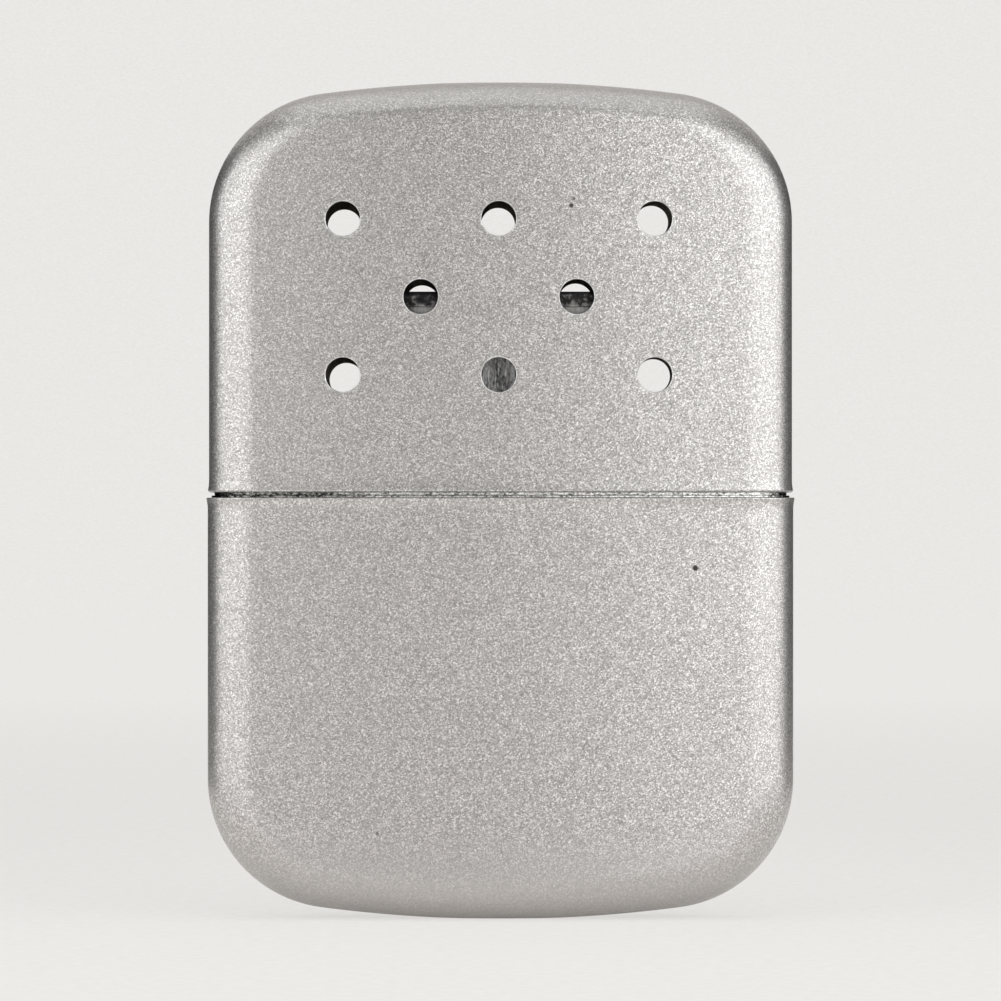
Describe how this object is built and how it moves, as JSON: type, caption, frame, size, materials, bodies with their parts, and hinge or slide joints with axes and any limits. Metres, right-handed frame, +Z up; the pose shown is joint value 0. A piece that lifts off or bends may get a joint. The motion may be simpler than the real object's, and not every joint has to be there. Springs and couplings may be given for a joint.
{
  "type": "catalytic hand warmer",
  "caption": "Flat pocket warmer: a vented lid slides off a wadding-filled tank, and a catalyst burner plugs over the tank's filler neck.",
  "frame": {"origin": "centre of the base, where the crowned end of the tank stands", "axes": "+Z up along the direction in which the lid pulls off, X across the width, -Y out of the front face"},
  "size_m": [0.0704, 0.0148, 0.0997],
  "materials": {
    "case_paint": "silver metallic stoving paint, fine sparkle, satin",
    "bright_band": "nickel plate, bright",
    "screen_steel": "perforated sheet, satin",
    "felt": "pressed wool felt",
    "cotton": "unbleached cotton wadding",
    "burner_steel": "steel sheet, dulled by heat",
    "cap_steel": "steel sheet, darkened by heat",
    "gauze_steel": "woven wire",
    "catalyst_cloth": "platinum-coated glass cloth, dark grey",
    "glass_fibre": "glass wool, white",
    "rivet_aluminium": "plain",
    "spring_bronze": "phosphor bronze strip, rolled"
  },
  "bodies": {
    "tank": {"tank_shell": "case_paint", "collar": "bright_band", "deck": "bright_band", "filler_neck": "bright_band", "neck_screen": "screen_steel", "felt_pad": "felt", "wadding_front": "cotton", "wadding_middle": "cotton", "wadding_back": "cotton"},
    "lid": {"lid_shell": "case_paint", "lid_ferrule": "bright_band"},
    "burner": {"burner_skirt": "burner_steel", "burner_case": "burner_steel", "burner_cap": "cap_steel", "support_gauze": "gauze_steel", "top_gauze": "gauze_steel", "catalyst_cloth": "catalyst_cloth", "catalyst_core": "glass_fibre", "burner_rivets": "rivet_aluminium", "neck_clips": "spring_bronze"}
  },
  "joints": [
    {"name": "lid_pull", "type": "slide", "parent": "tank", "child": "lid", "axis": [0, 0, 1], "range_m": [0, 0.06]},
    {"name": "burner_pull", "type": "slide", "parent": "tank", "child": "burner", "axis": [0, 0, 1], "range_m": [0, 0.018]}
  ]
}
